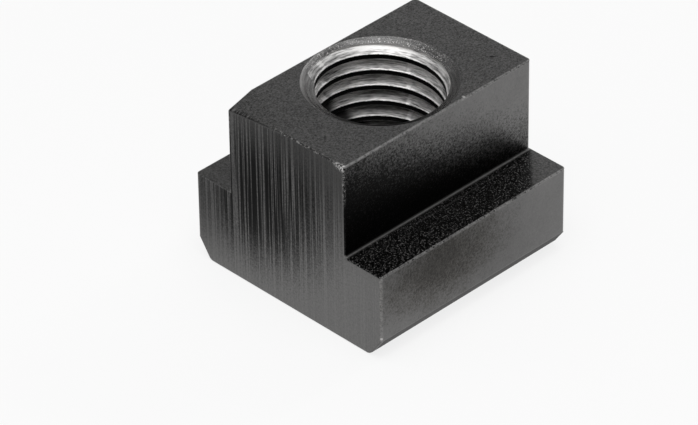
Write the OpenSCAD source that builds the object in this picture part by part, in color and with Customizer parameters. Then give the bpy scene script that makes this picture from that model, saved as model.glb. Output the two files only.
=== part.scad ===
// Threaded T-slot nut: a length of T-shaped steel bar, sawn off, drilled, countersunk and tapped.
// The foot lies in the wide lower part of a machine table's T-slot, and the neck stands in its mouth.
// X runs along the slot, Y across it, and Z up through the neck.
// The origin is where the axis of the threaded hole meets the underside of the foot.

/* [Bar] */
// Length of the piece that was sawn off the bar
length = 35.4; // [30:0.2:60]
// Height of the whole section, from the underside of the foot to the top of the neck
height = 28; // [24:0.5:40]
// Bevel along the long edges, and along the level edges of both sawn ends
edge_bevel = 0.3; // [0.1:0.05:0.6]
// Radius of the upright edges of both sawn ends
end_r = 0.8; // [0.2:0.1:1.5]

/* [Foot] */
// Width of the foot, across the slot
foot_w = 35; // [31:0.5:45]
// Height of the foot, up to the two ledges that pull against the slot's lips
foot_h = 13.6; // [8:0.2:16]
// Width of the slope along each lower edge of the foot
slope_w = 2.2; // [1:0.1:4]
// Height of that slope
slope_h = 3.2; // [1:0.1:4]
// Radius where the slope runs into the underside
slope_r = 2.1; // [0.5:0.1:3]

/* [Neck] */
// Width of the neck, a little under the 22 mm mouth of the slot
neck_w = 21.8; // [21.6:0.1:27.6]
// Radius in the two corners between the neck and the ledges
root_r = 0.5; // [0.2:0.1:1]

/* [Thread] */
// Outer diameter of the screw that the nut takes
thread_d = 20; // [12:1:20]
// Distance from one turn of the thread to the next
thread_pitch = 2.5; // [1:0.25:2.5]
// Diameter of the countersink's mouth at each end of the hole
countersink_d = 21.2; // [20.2:0.2:21.6]
// Full angle of the countersinks
countersink_angle = 120; // [80:5:120]

/* [Knocked corner] */
// Reach of the knocked corner along the neck's upper long edge
knock_x = 4.4; // [1:0.2:8]
// Reach of the knocked corner along the edge of the sawn end
knock_y = 11; // [2:0.5:14]
// Depth of the knock at the corner itself
knock_z = 1.2; // [0.3:0.1:3]

/* [Hidden] */
$fn = 96;

// How far cutting shapes run past the faces they cut
past = 1;
// How far joined shapes run into each other
lap = 0.2;

bore_d = thread_d - thread_pitch;
countersink_depth = (countersink_d - bore_d) / 2 / tan(countersink_angle / 2);

// Bevelled rectangle across the origin and up from it
module bevelled_outline(w, h) {
    half = w / 2;
    polygon([
        [half - edge_bevel, 0],
        [half, edge_bevel],
        [half, h - edge_bevel],
        [half - edge_bevel, h],
        [edge_bevel - half, h],
        [-half, h - edge_bevel],
        [-half, edge_bevel],
        [edge_bevel - half, 0]
    ]);
}

// Rectangle around the origin with true arcs at its corners
module rounded_outline(l, w) {
    square([l - 2 * end_r, w], center = true);
    square([l, w - 2 * end_r], center = true);
    for (x = [-1, 1])
        for (y = [-1, 1])
            translate([x * (l / 2 - end_r), y * (w / 2 - end_r)])
                circle(r = end_r);
}

// End view of the foot, with a slope along both lower edges that runs into the underside as an arc
module foot_outline() {
    half = foot_w / 2;
    slope_angle = atan2(slope_h, slope_w);
    tangent = slope_r * tan(slope_angle / 2);
    arc_x = half - slope_w - tangent;
    slope_end = [half - slope_w + tangent * cos(slope_angle), tangent * sin(slope_angle)];
    polygon([
        [arc_x, 0],
        slope_end,
        [half, slope_h],
        [half, foot_h - edge_bevel],
        [half - edge_bevel, foot_h],
        [edge_bevel - half, foot_h],
        [-half, foot_h - edge_bevel],
        [-half, slope_h],
        [-slope_end[0], slope_end[1]],
        [-arc_x, 0]
    ]);
    for (side = [-1, 1])
        translate([side * arc_x, slope_r])
            circle(r = slope_r);
}

// Block as long as the nut, where its end view, given as a child, meets its side view and its plan
module bar_block(w, h) {
    intersection() {
        rotate([90, 0, 90])
            linear_extrude(height = length, center = true)
                children();
        rotate([90, 0, 0])
            linear_extrude(height = w, center = true)
                bevelled_outline(length, h);
        linear_extrude(height = h)
            rounded_outline(length, w);
    }
}

// Rounded corner where one side of the neck meets its ledge
module root_fillet() {
    translate([0, neck_w / 2, foot_h])
        rotate([90, 0, 90])
            linear_extrude(height = length - 2 * end_r, center = true)
                difference() {
                    translate([-lap, -lap])
                        square(root_r + lap);
                    translate([root_r, root_r])
                        circle(r = root_r);
                }
}

module bar() {
    bar_block(foot_w, foot_h)
        foot_outline();
    bar_block(neck_w, height)
        bevelled_outline(neck_w, height);
    root_fillet();
    mirror([0, 1, 0])
        root_fillet();
}

// Cone that opens the hole towards +Z, with its mouth at the height given
module countersink(mouth_z) {
    widening = tan(countersink_angle / 2);
    translate([0, 0, mouth_z - countersink_depth])
        cylinder(
            h = countersink_depth + past,
            d1 = bore_d,
            d2 = countersink_d + 2 * past * widening
        );
}

// Tapped hole through the nut, at the diameter of its thread's crests
module threaded_hole() {
    translate([0, 0, -past])
        cylinder(h = height + 2 * past, d = bore_d);
    countersink(height);
    mirror([0, 0, 1])
        countersink(0);
}

// Sloping plane that takes one upper corner off the neck
module knocked_corner() {
    edge_run = norm([knock_x, knock_y]);
    slope_run = knock_x * knock_y / edge_run;
    translate([-length / 2, neck_w / 2 - knock_y, height])
        rotate([0, 0, atan2(knock_y, knock_x)])
            rotate([-atan(knock_z / slope_run), 0, 0])
                translate([-past, -past, 0])
                    cube([edge_run + 2 * past, slope_run + 3 * past, knock_z + past]);
}

module t_slot_nut() {
    color([0.28, 0.28, 0.27])
        difference() {
            bar();
            threaded_hole();
            knocked_corner();
        }
}

t_slot_nut();
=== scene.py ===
import math

import bmesh
import bpy
from mathutils import Matrix, Vector


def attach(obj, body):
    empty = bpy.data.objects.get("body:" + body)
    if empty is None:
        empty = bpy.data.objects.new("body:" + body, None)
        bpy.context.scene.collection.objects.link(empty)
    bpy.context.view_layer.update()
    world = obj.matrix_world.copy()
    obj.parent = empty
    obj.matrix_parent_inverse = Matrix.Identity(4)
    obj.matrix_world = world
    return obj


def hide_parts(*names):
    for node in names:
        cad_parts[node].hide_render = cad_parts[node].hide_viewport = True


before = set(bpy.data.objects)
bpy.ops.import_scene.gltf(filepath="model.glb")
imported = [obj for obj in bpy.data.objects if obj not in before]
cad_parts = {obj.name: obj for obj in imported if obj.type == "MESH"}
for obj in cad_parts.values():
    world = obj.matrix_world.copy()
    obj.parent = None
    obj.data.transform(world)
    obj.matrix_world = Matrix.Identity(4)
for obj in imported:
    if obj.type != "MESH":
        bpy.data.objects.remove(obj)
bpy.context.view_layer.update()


# The bar: steel drawn to a T section and cut to length. The wide foot fills the lower part of the
# slot, and the neck stands in its mouth. It is one solid piece, blackened in an oxide bath.
MM = 0.001
touching = 1e-7
length = 35.4 * MM
height = 28 * MM
foot_w = 35 * MM
foot_h = 13.6 * MM
neck_w = 21.8 * MM
slope_w = 2.2 * MM
slope_h = 3.2 * MM
knock = Vector((4.4, 11, 1.2)) * MM

bar = bmesh.new()


def cut(mesh, point, outward, remove):
    """Cuts the mesh at a plane. With remove, what lies beyond it goes and the cut is closed."""
    everything = mesh.verts[:] + mesh.edges[:] + mesh.faces[:]
    made = bmesh.ops.bisect_plane(
        mesh, geom=everything, dist=touching, plane_co=point, plane_no=outward, clear_outer=remove
    )
    if remove:
        rim = [g for g in made["geom_cut"] if isinstance(g, bmesh.types.BMEdge)]
        bmesh.ops.contextual_create(mesh, geom=rim)


foot_box = Matrix.Translation((0, 0, foot_h / 2)) @ Matrix.Diagonal((length, foot_w, foot_h, 1))
bmesh.ops.create_cube(bar, size=1, matrix=foot_box)
for side in (-1, 1):
    cut(bar, (0, side * neck_w / 2, 0), (0, side, 0), False)
neck_floor = [
    face for face in bar.faces
    if face.normal.z > 0.9 and abs(face.calc_center_median().y) < neck_w / 2
]
neck = bmesh.ops.extrude_face_region(bar, geom=neck_floor)
neck_top = [g for g in neck["geom"] if isinstance(g, bmesh.types.BMVert)]
bmesh.ops.delete(bar, geom=neck_floor, context="FACES_ONLY")
bmesh.ops.translate(bar, verts=neck_top, vec=(0, 0, height - foot_h))
bmesh.ops.dissolve_limit(bar, angle_limit=0.01, verts=bar.verts[:], edges=bar.edges[:])
for side in (-1, 1):
    cut(bar, (0, side * foot_w / 2, slope_h), (0, side * slope_h, -slope_w), True)
knock_rim = Vector((-length / 2, neck_w / 2 - knock.y, height))
knock_normal = Vector((-1 / knock.x, 1 / knock.y, 1 / knock.z)).normalized()
cut(bar, knock_rim, knock_normal, True)
bmesh.ops.recalc_face_normals(bar, faces=bar.faces[:])

# How far each edge is cut back, which the Bevel modifier takes as a share of the widest. The drawn
# edges are tight, the far end is tumbled, and the slopes run into the underside in a broad arc.
underside_cut = 1.1 * MM
root_cut = 0.24 * MM
slope_top_cut = 0.16 * MM
near_neck_cut = 0.28 * MM
near_foot_cut = 0.48 * MM
far_end_cut = 0.76 * MM
drawn_cut = 0.29 * MM
hair = 0.01 * MM
share = bar.edges.layers.float.new("bevel_weight_edge")
for edge in bar.edges:
    middle = (edge.verts[0].co + edge.verts[1].co) / 2
    run = (edge.verts[1].co - edge.verts[0].co).normalized()
    lies_along = abs(run.x) > 0.99
    upright = abs(run.z) > 0.9
    near_end = middle.x < 0
    at_root = abs(middle.z - foot_h) < hair and abs(middle.y) < foot_w / 2 - hair
    if lies_along and at_root:
        cut_back = root_cut
    elif lies_along and middle.z < hair:
        cut_back = underside_cut
    elif lies_along and middle.z < foot_h - hair:
        cut_back = slope_top_cut
    elif upright and near_end:
        cut_back = near_neck_cut if middle.z > foot_h else near_foot_cut
    elif upright:
        cut_back = far_end_cut
    else:
        cut_back = drawn_cut
    edge[share] = cut_back / underside_cut
bar_mesh = bpy.data.meshes.new("nut")
bar.to_mesh(bar_mesh)
bar.free()
nut = bpy.data.objects.new("nut", bar_mesh)
bpy.context.scene.collection.objects.link(nut)
rounding = nut.modifiers.new("rounded edges", "BEVEL")
rounding.limit_method = "WEIGHT"
rounding.width = underside_cut
rounding.segments = 5
rounding.use_clamp_overlap = True


class Tone:
    """One output of a shader node. Sums written on it add the Math nodes that they need."""

    def __init__(self, socket):
        self.socket = socket

    def node(self, kind, settings=None, inputs=None, output=0):
        """Another node of the same material: its type, settings, and sockets' values or links."""
        tree = self.socket.id_data
        made = tree.nodes.new(kind)
        for name, value in (settings or {}).items():
            setattr(made, name, value)
        for name, value in (inputs or {}).items():
            if isinstance(value, Tone):
                tree.links.new(value.socket, made.inputs[name])
            else:
                made.inputs[name].default_value = value
        return Tone(made.outputs[output])

    def maths(self, operation, *terms):
        return self.node("ShaderNodeMath", {"operation": operation}, dict(enumerate(terms)))

    def __add__(self, other):
        return self.maths("ADD", self, other)

    __radd__ = __add__

    def __mul__(self, other):
        return self.maths("MULTIPLY", self, other)

    __rmul__ = __mul__

    def __sub__(self, other):
        return self.maths("SUBTRACT", self, other)

    def __rsub__(self, other):
        return self.maths("SUBTRACT", other, self)

    def __pow__(self, other):
        return self.maths("POWER", self, other)

    def __abs__(self):
        return self.maths("ABSOLUTE", self)

    def least(self, other):
        return self.maths("MINIMUM", self, other)

    def most(self, other):
        return self.maths("MAXIMUM", self, other)

    def rise(self, low, high):
        """0 where the value is at low, 1 where it is at high, and smooth between them."""
        return self.node(
            "ShaderNodeMapRange",
            {"interpolation_type": "SMOOTHSTEP"},
            {"Value": self, "From Min": low, "From Max": high},
        )

    def stretched(self, x, y, z):
        """The place with each axis multiplied, so that a pattern on it is drawn out."""
        return self.node("ShaderNodeVectorMath", {"operation": "MULTIPLY"}, {0: self, 1: (x, y, z)})

    def grain(self, scale, detail=2, roughness=0.6):
        """Noise from about 0.2 to 0.8 at this place, with this many cells to the millimetre."""
        return self.node(
            "ShaderNodeTexNoise", None,
            {"Vector": self, "Scale": scale, "Detail": detail, "Roughness": roughness},
        )


def steel(name):
    """A new metal: its shader, and the place in millimetres as a vector and as x, y and z."""
    material = bpy.data.materials.new(name)
    material.use_nodes = True
    tree = material.node_tree
    shader = tree.nodes["Principled BSDF"]
    shader.inputs["Metallic"].default_value = 1
    start = Tone(tree.nodes.new("ShaderNodeTexCoord").outputs["Object"])
    place = start.stretched(1 / MM, 1 / MM, 1 / MM)
    parts = [place.node("ShaderNodeSeparateXYZ", None, {0: place}, i) for i in range(3)]
    return material, shader, place, *parts


def finish_with(shader, colour, roughness, relief, depth):
    """Links a metal's colour and roughness, and a relief in millimetres as bump."""
    tree = shader.id_data
    tree.links.new(colour.socket, shader.inputs["Base Color"])
    tree.links.new(roughness.socket, shader.inputs["Roughness"])
    bump = relief.node("ShaderNodeBump", None, {"Height": relief, "Distance": depth, "Strength": 1})
    tree.links.new(bump.socket, shader.inputs["Normal"])


def grey(level, light=(1.012, 1, 0.99, 1)):
    """The grey of steel at this level, from 0 for black to 1 for white."""
    return level.node(
        "ShaderNodeMix", {"data_type": "RGBA"}, {"Factor": level, "A": (0, 0, 0, 1), "B": light}, 2
    )


def blend(mask, under, over):
    """The colour under where the mask is 0 and over where it is 1."""
    return mask.node(
        "ShaderNodeMix", {"data_type": "RGBA"}, {"Factor": mask, "A": under, "B": over}, 2
    )


def distance(*offsets):
    """How far off a point is, from its offsets along two or three axes."""
    return sum(offset * offset for offset in offsets) ** 0.5


def saw_lines(place, y, z):
    """Upright lines that the saw left across an end, from 0 in the furrows to 1 on the ridges."""
    lined = place.node("ShaderNodeCombineXYZ", None, {0: y, 1: 0.5, 2: z * 0.007})
    single = lined.grain(5.2, 0, 0.5).rise(0.42, 0.58)
    in_bands = lined.grain(3.1, 0, 0.5).rise(0.38, 0.5)
    return single * (0.4 + in_bands * 0.6)


# The bar's half sizes and levels in millimetres, as the materials read them, and the oxide's grey.
end_x = length / 2 / MM
foot_y = foot_w / 2 / MM
neck_y = neck_w / 2 / MM
ledge_z = foot_h / MM
top_z = height / MM
oxide = 0.146
darkest = 0.004
oxide_relief = 0.02 * MM

blackened, shader, place, x, y, z = steel("blackened_bar")
across = abs(y)
fine = place.grain(3.8, 3, 0.8)
cloud = place.grain(0.35, 2, 0.5)
on_facet = abs(
    (x - knock_rim.x / MM) * knock_normal.x + (y - knock_rim.y / MM) * knock_normal.y
    + (z - knock_rim.z / MM) * knock_normal.z
).rise(0.12, 0.04)
on_top = (z - top_z).rise(-0.35, -0.1).most(on_facet)
on_ledge = (across - neck_y).rise(0.15, 0.4) * (z - ledge_z).rise(-0.3, -0.1)
on_neck = z.rise(13.7, 14.1) * (1 - on_top)
on_foot = 1 - z.rise(13.2, 13.5)
in_front = y.rise(-10.2, -10.7)

# The neck's near side is painted near black towards its root and towards the near end, a painted
# shade for the dark ledge and table that it mirrors, with a grainy edge between.
climb = z - 13.9 + (x - 17.5) * 0.385 + (fine - 0.5) * 24
neck_unshaded = climb.rise(-3, 6.8)
neck_shade = on_neck * in_front * (1 - neck_unshaded)
neck_level = 1 - neck_shade * 0.98
stain = distance((x + 6) * 0.52, z - 10.2) + (fine - 0.5) * 9 + (cloud - 0.5) * 4
stained = stain.rise(8, 1) * on_foot * in_front

# The slopes under the foot are painted darker, a painted shade against the floor's glare, and on
# the near side they are rough enough to lose that glare.
on_slope = z.rise(3.25, 3.05)
foot_level = (1 - stained * 0.5) * (1 - on_slope * 0.2)
rough_slope = on_slope * in_front * x.rise(-17.5, -17.2)

# The ledges are painted darker, a painted shade from the neck that stands beside them: the near one
# black beside the neck and speckled, and paler past the neck's far end, the far one less dark. A
# thin painted highlight runs along the root's rounding, and a broken pale line a little way out
# from it.
flecks = place.grain(4.2, 2, 0.8).rise(0.56, 0.66)
in_the_open = (x - end_x + (across - neck_y) * 0.975).rise(-0.7, 0.5) * in_front
broken = place.stretched(0.2, 1, 1).grain(1.5, 2, 0.6).rise(0.4, 0.55)
second_line = abs(across - (neck_y + 1.25)).rise(0.2, 0.1) * broken * in_front
root_highlight = distance(across - (neck_y + 0.12), z - (ledge_z + 0.12)).rise(0.13, 0.06)
ledge_level = 1 - on_ledge * (1 - in_the_open * 0.85) * (0.4 + in_front * 0.53)
# The top is painted darker, less so towards its far corner: a painted shade.
top_level = 1 - on_top * (0.25 - (x + y).rise(-10, 25) * 0.08)
contrast = 0.7 + on_top * 3.3 + on_ledge * 2.5 + stained * 2.2
level = oxide * neck_level * foot_level * ledge_level * top_level
level = level * (1 + (fine - 0.5) * contrast + (cloud - 0.5) * 0.2)
level = level + flecks * (neck_shade * 0.03 + on_ledge * (in_front - in_the_open) * 0.26)
level = level + second_line * on_ledge * 0.05 + root_highlight * 0.12


def dent(middle_x, middle_y, half_long, half_wide):
    """Where a shallow dent lies in the top of the neck, at a slant to its edges, for its painted
    shade. It is 1 in its middle.
    """
    slant = math.sqrt(0.5)
    lengthwise = (x - y - (middle_x - middle_y)) * (slant / half_long)
    crosswise = (x + y - (middle_x + middle_y)) * (slant / half_wide)
    return distance(lengthwise, crosswise).rise(1, 0.4) * on_top


# Dark spots are painted where the top has shallow dents: a painted shade, as the dents are not in
# the relief.
dent_shade = dent(14.4, -6.7, 0.5, 0.26).most(dent(12.5, -8.5, 0.3, 0.2) * 0.7)
dent_shade = dent_shade.most(dent(-14.5, -4.2, 0.22, 0.6) * 0.6).most(dent(-11, -6.4, 0.9, 0.2) * 0.4)
level = level * (1 - dent_shade * 0.85)

# The saw's lines run out over the knocked facet.
near_cut = x.rise(-16.7, -17.6) * y.rise(4.5, 9)
level = level * (1 - near_cut * on_facet * (0.75 - saw_lines(place, y, z) * 1.4))


def rubbed_corners(x, y, z, speckle, strength):
    """Broken flecks of paler metal at the near corners of the neck and of the foot."""
    neck_corner = distance((x + end_x) * 1.5, (y + 10.4) * 0.6, z - top_z).rise(1.1, 0.3)
    foot_corner = distance(x + end_x, y + foot_y).rise(0.5, 0.2)
    return (neck_corner * speckle.rise(0.46, 0.54) * strength).most(
        foot_corner * speckle.rise(0.42, 0.56) * 0.25
    )


# Edges rubbed through to paler metal in broken flecks, and two small nicks.
speckle = place.grain(2.6, 3, 0.75)
neck_edge = distance(across - neck_y, z - top_z)
foot_edge = distance(across - foot_y, z - ledge_z)
long_edges = neck_edge.least(foot_edge).rise(0.34, 0.1) * (1 - y.rise(8, 10) * 0.9)
end_top = distance(abs(x) - end_x, z - top_z)
end_upright = distance(abs(x) - end_x, across - neck_y, (z - 25) * 0.12)
end_edges = end_top.least(end_upright).rise(0.5, 0.1)
neck_nick = distance(x - 4.9, (y + 10.7) * 0.6, z - top_z)
foot_nick = distance(x + 17.5, y + 17.3, z - 3.6)
nicks = neck_nick.least(foot_nick).rise(0.28, 0.12)
worn = (long_edges * speckle.rise(0.3, 0.55)).most(end_edges * speckle.rise(0.5, 0.6))
worn = worn.most(nicks * 1.5).most(rubbed_corners(x, y, z, speckle, 2.4))
# The rounded edges at the top of each end are painted darker: a painted shade.
end_bevel_shade = abs(x).rise(17.4, 17.6) * z.rise(24, 26)
level = (level * (1 - end_bevel_shade * 0.5)).most(darkest) + worn * 0.24
colour = blend(stained * 0.8, grey(level), grey(level, (1.06, 1, 0.92, 1)))
rough = 0.29 + fine * 0.12 + flecks * on_ledge * 0.45 + worn * 0.15 + rough_slope * 0.5
finish_with(shader, colour, rough, fine + flecks * on_ledge * 0.6, oxide_relief)
nut.data.materials.append(blackened)


# The sawn ends: a bandsaw left upright lines across the whole T, deep and ragged on one side of the
# cut and fine on the other. The oxide covers them, and the raised lines are rubbed bright. Over a
# broad patch on the ragged side the end is painted near black between the lines, and elsewhere
# darker towards its top: painted shade for the dark patch of the table that the end mirrors.
sawn, shader, place, x, y, z = steel("sawn_end")
lines = saw_lines(place, y, z)
fine = place.grain(3.8, 3, 0.8)
depth_of_tone = distance((y - 7.5) * 0.76, (z - 18.5) * 0.88) + (fine - 0.5) * 8
ragged_and_shaded = depth_of_tone.rise(16.5, 6.5) * (1 - z.rise(20, 27) * 0.6) * (1 - y.rise(11, 14) * 0.4)
smooth_level = oxide * (0.93 + lines * 0.08) * (1 - z.rise(10, 25) * (0.5 - y.rise(0, 8) * 0.15))
shaded_ragged_level = 0.002 + lines ** 1.8 * (0.14 - y.rise(3, 9) * z.rise(12, 16) * 0.03)
level = smooth_level * (1 - ragged_and_shaded) + shaded_ragged_level * ragged_and_shaded
level = level * (1 + (fine - 0.5) * (0.9 + ragged_and_shaded * 2))
speckle = place.grain(2.6, 3, 0.75)
end_upright = distance(abs(x) - end_x, abs(y) - neck_y, (z - 25) * 0.1).rise(0.55, 0.1)
worn = (end_upright * speckle.rise(0.46, 0.58)).most(rubbed_corners(x, y, z, speckle, 2))
colour = grey(level.most(darkest) + worn * 0.28)
furrows = lines * (0.2 + ragged_and_shaded * 0.8) + fine * 0.2
finish_with(shader, colour, 0.36 + fine * 0.1, furrows, oxide_relief)
nut.data.materials.append(sawn)
sawn_finish = len(nut.data.materials) - 1


# The tapped hole: drilled and tapped right-hand through the whole height. The tap left bare,
# bright flanks with marks running round them, dark roots, and crests that are flat and wide.
crest_r = 8.75 * MM
root_r = 10 * MM
pitch = 2.5 * MM
crest_flat = 0.64 * MM
root_flat = 0.3125 * MM
groove_z = 1.9 * MM
burr = 0.13 * MM
steps = 120
past = 0.7 * MM
turns = range(-3, 13)

tap = bmesh.new()
chain = []
half_groove = (pitch - crest_flat) / 2
half_root = root_flat / 2
for turn in turns:
    middle_z = groove_z + turn * pitch
    for r, rise in (
        (crest_r, -half_groove), (root_r, -half_root), (root_r, half_root), (crest_r, half_groove),
    ):
        chain.append(tap.verts.new((r, 0, middle_z + rise)))
for lower, upper in zip(chain, chain[1:]):
    tap.edges.new((lower, upper))
crests = [vert for vert in tap.verts if vert.co.x < crest_r + burr and len(vert.link_edges) == 2]
bmesh.ops.bevel(
    tap, geom=crests, offset=burr, offset_type="OFFSET", segments=3, profile=0.5,
    affect="VERTICES", material=-1,
)
bmesh.ops.spin(
    tap, geom=tap.verts[:] + tap.edges[:], cent=(0, 0, 0), axis=(0, 0, 1),
    dvec=(0, 0, pitch / steps), angle=math.tau, steps=steps, use_merge=False,
)
bmesh.ops.remove_doubles(tap, verts=tap.verts[:], dist=touching)
cut(tap, (0, 0, height + past), (0, 0, 1), True)
cut(tap, (0, 0, -past), (0, 0, -1), True)
bmesh.ops.recalc_face_normals(tap, faces=tap.faces[:])

# Its marks follow the turns, so they are drawn on a point's distance from the hole's axis, its
# place along the thread, and its bearing, which is 0 at the far corner and ends at the near one.
thread, shader, place, x, y, z = steel("tapped_thread")
reach = distance(x, y)
bearing = y.maths("ARCTAN2", y - x, y + x)
along_thread = z - bearing * (pitch / MM / math.tau)
round_marks = place.node(
    "ShaderNodeCombineXYZ", None, {0: reach, 1: along_thread, 2: bearing * 1.1}
)
marks = round_marks.grain(4.3, 2, 0.7)
torn = place.grain(2.6, 3, 0.7)
# The flat crests are painted near black: a painted shade.
crest = (reach + (torn - 0.5) * 0.12).rise(8.86, 8.8)
# Painted shade deeper down the hole, and painted light towards the roots against their shade.
depth_down = (top_z - z).rise(4, 14)
outward = reach.rise(9.0, 10.0)
# Painted highlights in two upright streaks down the turns.
left_highlight = abs(bearing - 0.995).rise(0.07, 0.02)
right_highlight = abs(bearing + 0.425).rise(0.05, 0.015)
highlights = left_highlight.most(right_highlight * 0.4)
middle = abs(bearing).rise(0.5, 0.15)
first_turn = z.rise(24.6, 25.6)
# A painted shadow at the lower left of the hole.
lower_left_shadow = (y - x + (22 - z) * 1.3).rise(11.5, 13.5)
level = (0.46 + 0.65 * outward) * (1 - 0.45 * depth_down)
# Painted light and shade by bearing, on the first turn and on the turns below it.
level = level * (1 - middle * outward * (1 - first_turn) * 0.45)
level = level * (1 - (1 - middle) * first_turn * 0.25 - (y - x).rise(9, 12.5) * first_turn * 0.3)
# A painted highlight along each crest's edge.
level = level + reach.rise(9.1, 8.9) * 0.35
level = level * (1 - lower_left_shadow * (1 - first_turn) * 0.9)
level = level * (1 + (marks - 0.5) * 3.6) * (1 + highlights * 0.8)
level = level + highlights * (1 - first_turn) * 0.25 + middle * first_turn * 0.05
level = level.most(0.02).least(0.97 - first_turn * 0.2) * (1 - crest) + 0.006 * crest
finish_with(shader, grey(level), 0.5 + marks * 0.16, marks, 0.012 * MM)
nut.data.materials.append(thread)
tapped_finish = len(nut.data.materials) - 1


def cut_away(tool, name, finish):
    """Takes a tool's body out of the nut. The new walls get the finish of that number."""
    for face in tool.faces:
        face.material_index = finish
    mesh = bpy.data.meshes.new(name)
    tool.to_mesh(mesh)
    tool.free()
    for material in nut.data.materials:
        mesh.materials.append(material)
    cutter = bpy.data.objects.new(name, mesh)
    bpy.context.scene.collection.objects.link(cutter)
    boolean = nut.modifiers.new(name, "BOOLEAN")
    boolean.object = cutter
    boolean.operation = "DIFFERENCE"
    boolean.solver = "EXACT"
    evaluated = nut.evaluated_get(bpy.context.evaluated_depsgraph_get())
    settled = bpy.data.meshes.new_from_object(evaluated)
    nut.modifiers.clear()
    nut.data = settled
    settled.name = "nut"
    bpy.data.objects.remove(cutter)


# The countersinks: a broad 120 degree cone opens each end of the hole, almost as wide as the neck.
# It was turned before the oxide bath, which left it dark, with bright torn specks at the far side.
sink_r = 10.72 * MM
sink_slope = math.radians(30)

countersunk, shader, place, x, y, z = steel("countersink")
shader.inputs["Specular Tint"].default_value = (0.1, 0.1, 0.1, 1)
reach = distance(x, y)
round_marks = place.node(
    "ShaderNodeCombineXYZ", None, {0: reach + x * 0.04, 1: z + y * 0.04, 2: x * 0.1}
)
marks = round_marks.grain(3.8, 3, 0.75)
torn = place.grain(4.0, 3, 0.85)
# Paler towards the far left: a painted sheen.
far_sheen = (y * 0.97 - x * 0.26 + (torn - 0.5) * 4).rise(2, 7.5)
far_side = (x * 0.7 + y * 0.7 + (torn - 0.5) * 6).rise(2, 7)
# A painted shadow on the cone's near side, under the rim.
near_side_shadow = (x * -0.643 - y * 0.766).rise(8.9, 10)
flecks = torn.rise(0.55, 0.62)
rim = reach.rise(10.3, 10.55) * (y - x).rise(4, 9)
near_right = (x * 0.87 - y * 0.5).rise(4, 8)
# Painted light and shade by bearing: darker towards the right, paler at the near right and at the
# left.
level = (0.13 + 0.02 * far_sheen + rim * 0.05) * (1 - x.rise(0, 8) * 0.35 + near_right * 0.35)
level = level * (1 + (marks - 0.5) * 2.4) * (1 + (y - x).rise(8, 13) * 0.35)
level = level + flecks * far_side * (0.4 + reach.rise(10.3, 9.7) * 0.5)
colour = grey(level * (1 - near_side_shadow * 0.95))
finish_with(shader, colour, 0.36 + flecks * 0.12, marks + flecks * 0.8, 0.015 * MM)
nut.data.materials.append(countersunk)
sink_finish = len(nut.data.materials) - 1

wide_r = sink_r + past / math.tan(sink_slope)
tall = sink_r * math.tan(sink_slope) + past
for upward in (True, False):
    cone = bmesh.new()
    bmesh.ops.create_cone(
        cone, cap_ends=True, cap_tris=False, segments=192, radius1=0.0005 * MM, radius2=wide_r,
        depth=tall,
    )
    bmesh.ops.translate(cone, verts=cone.verts[:], vec=(0, 0, past - tall / 2))
    if upward:
        bmesh.ops.translate(cone, verts=cone.verts[:], vec=(0, 0, height))
    else:
        upside_down = Matrix.Rotation(math.pi, 3, "X")
        bmesh.ops.rotate(cone, verts=cone.verts[:], cent=(0, 0, 0), matrix=upside_down)
    cut_away(cone, "upper_countersink" if upward else "lower_countersink", sink_finish)
cut_away(tap, "tap", tapped_finish)

# Smooth shading, with creases where two cuts meet, and the sawn finish on both ends.
crease = math.radians(28)
end_depth = 0.05 * MM
done = bmesh.new()
done.from_mesh(nut.data)
bmesh.ops.remove_doubles(done, verts=done.verts[:], dist=2 * touching)
for face in done.faces:
    face.smooth = True
    at_end = abs(face.calc_center_median().x) > length / 2 - end_depth
    if at_end and abs(face.normal.x) > 0.98:
        face.material_index = sawn_finish
for edge in done.edges:
    edge.smooth = not (edge.is_manifold and edge.calc_face_angle(0) > crease)
done.to_mesh(nut.data)
done.free()
shading = nut.modifiers.new("even shading", "WEIGHTED_NORMAL")
shading.keep_sharp = True
shading.weight = 50

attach(nut, "root")
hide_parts("t_slot_nut")


# The floor and the light of a small white studio: a pale table, a soft box above the nut, a tall
# strip at its far end, and walls that grow dimmer with height, dark at one side.
floor_mesh = bpy.data.meshes.new("floor")
sheet = bmesh.new()
table_half = 3
table_drop = 0.02 * MM
bmesh.ops.create_grid(sheet, x_segments=1, y_segments=1, size=table_half)
bmesh.ops.translate(sheet, verts=sheet.verts[:], vec=(0, 0, -table_drop))
sheet.to_mesh(floor_mesh)
sheet.free()
floor = bpy.data.objects.new("floor", floor_mesh)
bpy.context.scene.collection.objects.link(floor)
pale = bpy.data.materials.new("pale_table")
pale.use_nodes = True
tree = pale.node_tree
tree.nodes.remove(tree.nodes["Principled BSDF"])
ray = tree.nodes.new("ShaderNodeLightPath").outputs
seen = Tone(ray["Is Camera Ray"])
seen = seen.most(Tone(ray["Is Glossy Ray"])).most(Tone(ray["Is Transmission Ray"]))
paper = seen.node("ShaderNodeBsdfDiffuse", None, {"Color": (0.85, 0.85, 0.85, 1)})

# The near side and the sawn end mirror painted shade on the table beside each of them: two dark
# patches that show only in reflections.
spot = Tone(tree.nodes.new("ShaderNodeTexCoord").outputs["Object"])
spot = spot.stretched(1 / MM, 1 / MM, 1 / MM)
spot_x, spot_y = (spot.node("ShaderNodeSeparateXYZ", None, {0: spot}, i) for i in range(2))
beside_foot = distance(spot_x - 5, spot_y + 40).rise(26, 4)
past_end = distance(spot_x + 37, spot_y - 24).rise(24, 4)
shade = beside_foot.most(past_end) * Tone(ray["Is Glossy Ray"])
glow = seen.node("ShaderNodeEmission", None, {"Color": (1, 1, 1, 1), "Strength": 1 - shade * 0.8})
both = seen.node("ShaderNodeMixShader", None, {0: seen * 0.82 + shade * 0.17, 1: paper, 2: glow})
tree.links.new(both.socket, tree.nodes["Material Output"].inputs["Surface"])
floor.data.materials.append(pale)

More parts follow.
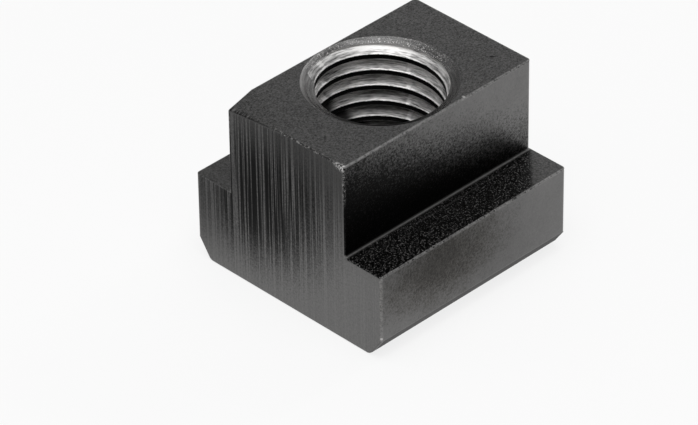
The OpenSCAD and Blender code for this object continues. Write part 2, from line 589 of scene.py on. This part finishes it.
world = bpy.data.worlds.new("studio")
bpy.context.scene.world = world
world.use_nodes = True
tree = world.node_tree
ray = tree.nodes.new("ShaderNodeLightPath").outputs
seen = Tone(ray["Is Camera Ray"])
toward = Tone(tree.nodes.new("ShaderNodeTexCoord").outputs["Generated"])
east, north, up = (toward.node("ShaderNodeSeparateXYZ", None, {0: toward}, i) for i in range(3))
dark_side = (east * 0.7 - north * 0.7).rise(0.3, 0.7) * up.rise(0.0, 0.2)
bright_end = (east * 0.985 + north * 0.17).rise(0.78, 0.93) * up.rise(0.6, 0.3)
wall = (0.42 + 0.58 * up.rise(0.45, 0.0)) * (1 - 0.93 * dark_side) + 0.55 * bright_end
brightness = seen + (1 - seen) * wall
backdrop = tree.nodes["Background"]
tree.links.new(brightness.socket, backdrop.inputs["Strength"])
backdrop.inputs["Color"].default_value = (1, 1, 1, 1)


def soft_box(name, place, across, tall, power, aim=(0, 0, 0.014)):
    """A rectangular lamp that faces the nut."""
    lamp = bpy.data.lights.new(name, "AREA")
    lamp.shape = "RECTANGLE"
    lamp.size = across
    lamp.size_y = tall
    lamp.energy = power
    box = bpy.data.objects.new(name, lamp)
    box.location = place
    box.rotation_euler = (Vector(aim) - Vector(place)).to_track_quat("-Z", "Y").to_euler()
    bpy.context.scene.collection.objects.link(box)


soft_box("overhead", (-0.12, -0.12, 0.7), 0.55, 0.55, 3.2)
soft_box("strip", (0.75, -0.1, 0.4), 0.12, 0.4, 0.8)

# The camera stands where the photograph was taken from, a good 0.6 m off, with a long lens. Its
# place and its three directions, in the nut's own axes, were fitted to the nut's outline.
camera = bpy.data.cameras.new("camera")
camera.sensor_width = 36
camera.lens = 252.5
viewpoint = bpy.data.objects.new("camera", camera)
right = Vector((0.70828816, -0.70581871, -0.01215836))
down = Vector((-0.41607857, -0.40349685, -0.81490423))
ahead = Vector((0.5702688, 0.58224585, -0.57946809))
turn = Matrix((right, -down, -ahead)).transposed().to_4x4()
viewpoint.matrix_world = Matrix.Translation(Vector((-380.66, -382.33, 390.17)) * MM) @ turn
bpy.context.scene.collection.objects.link(viewpoint)
bpy.context.scene.camera = viewpoint
bpy.context.scene.view_settings.view_transform = "Standard"
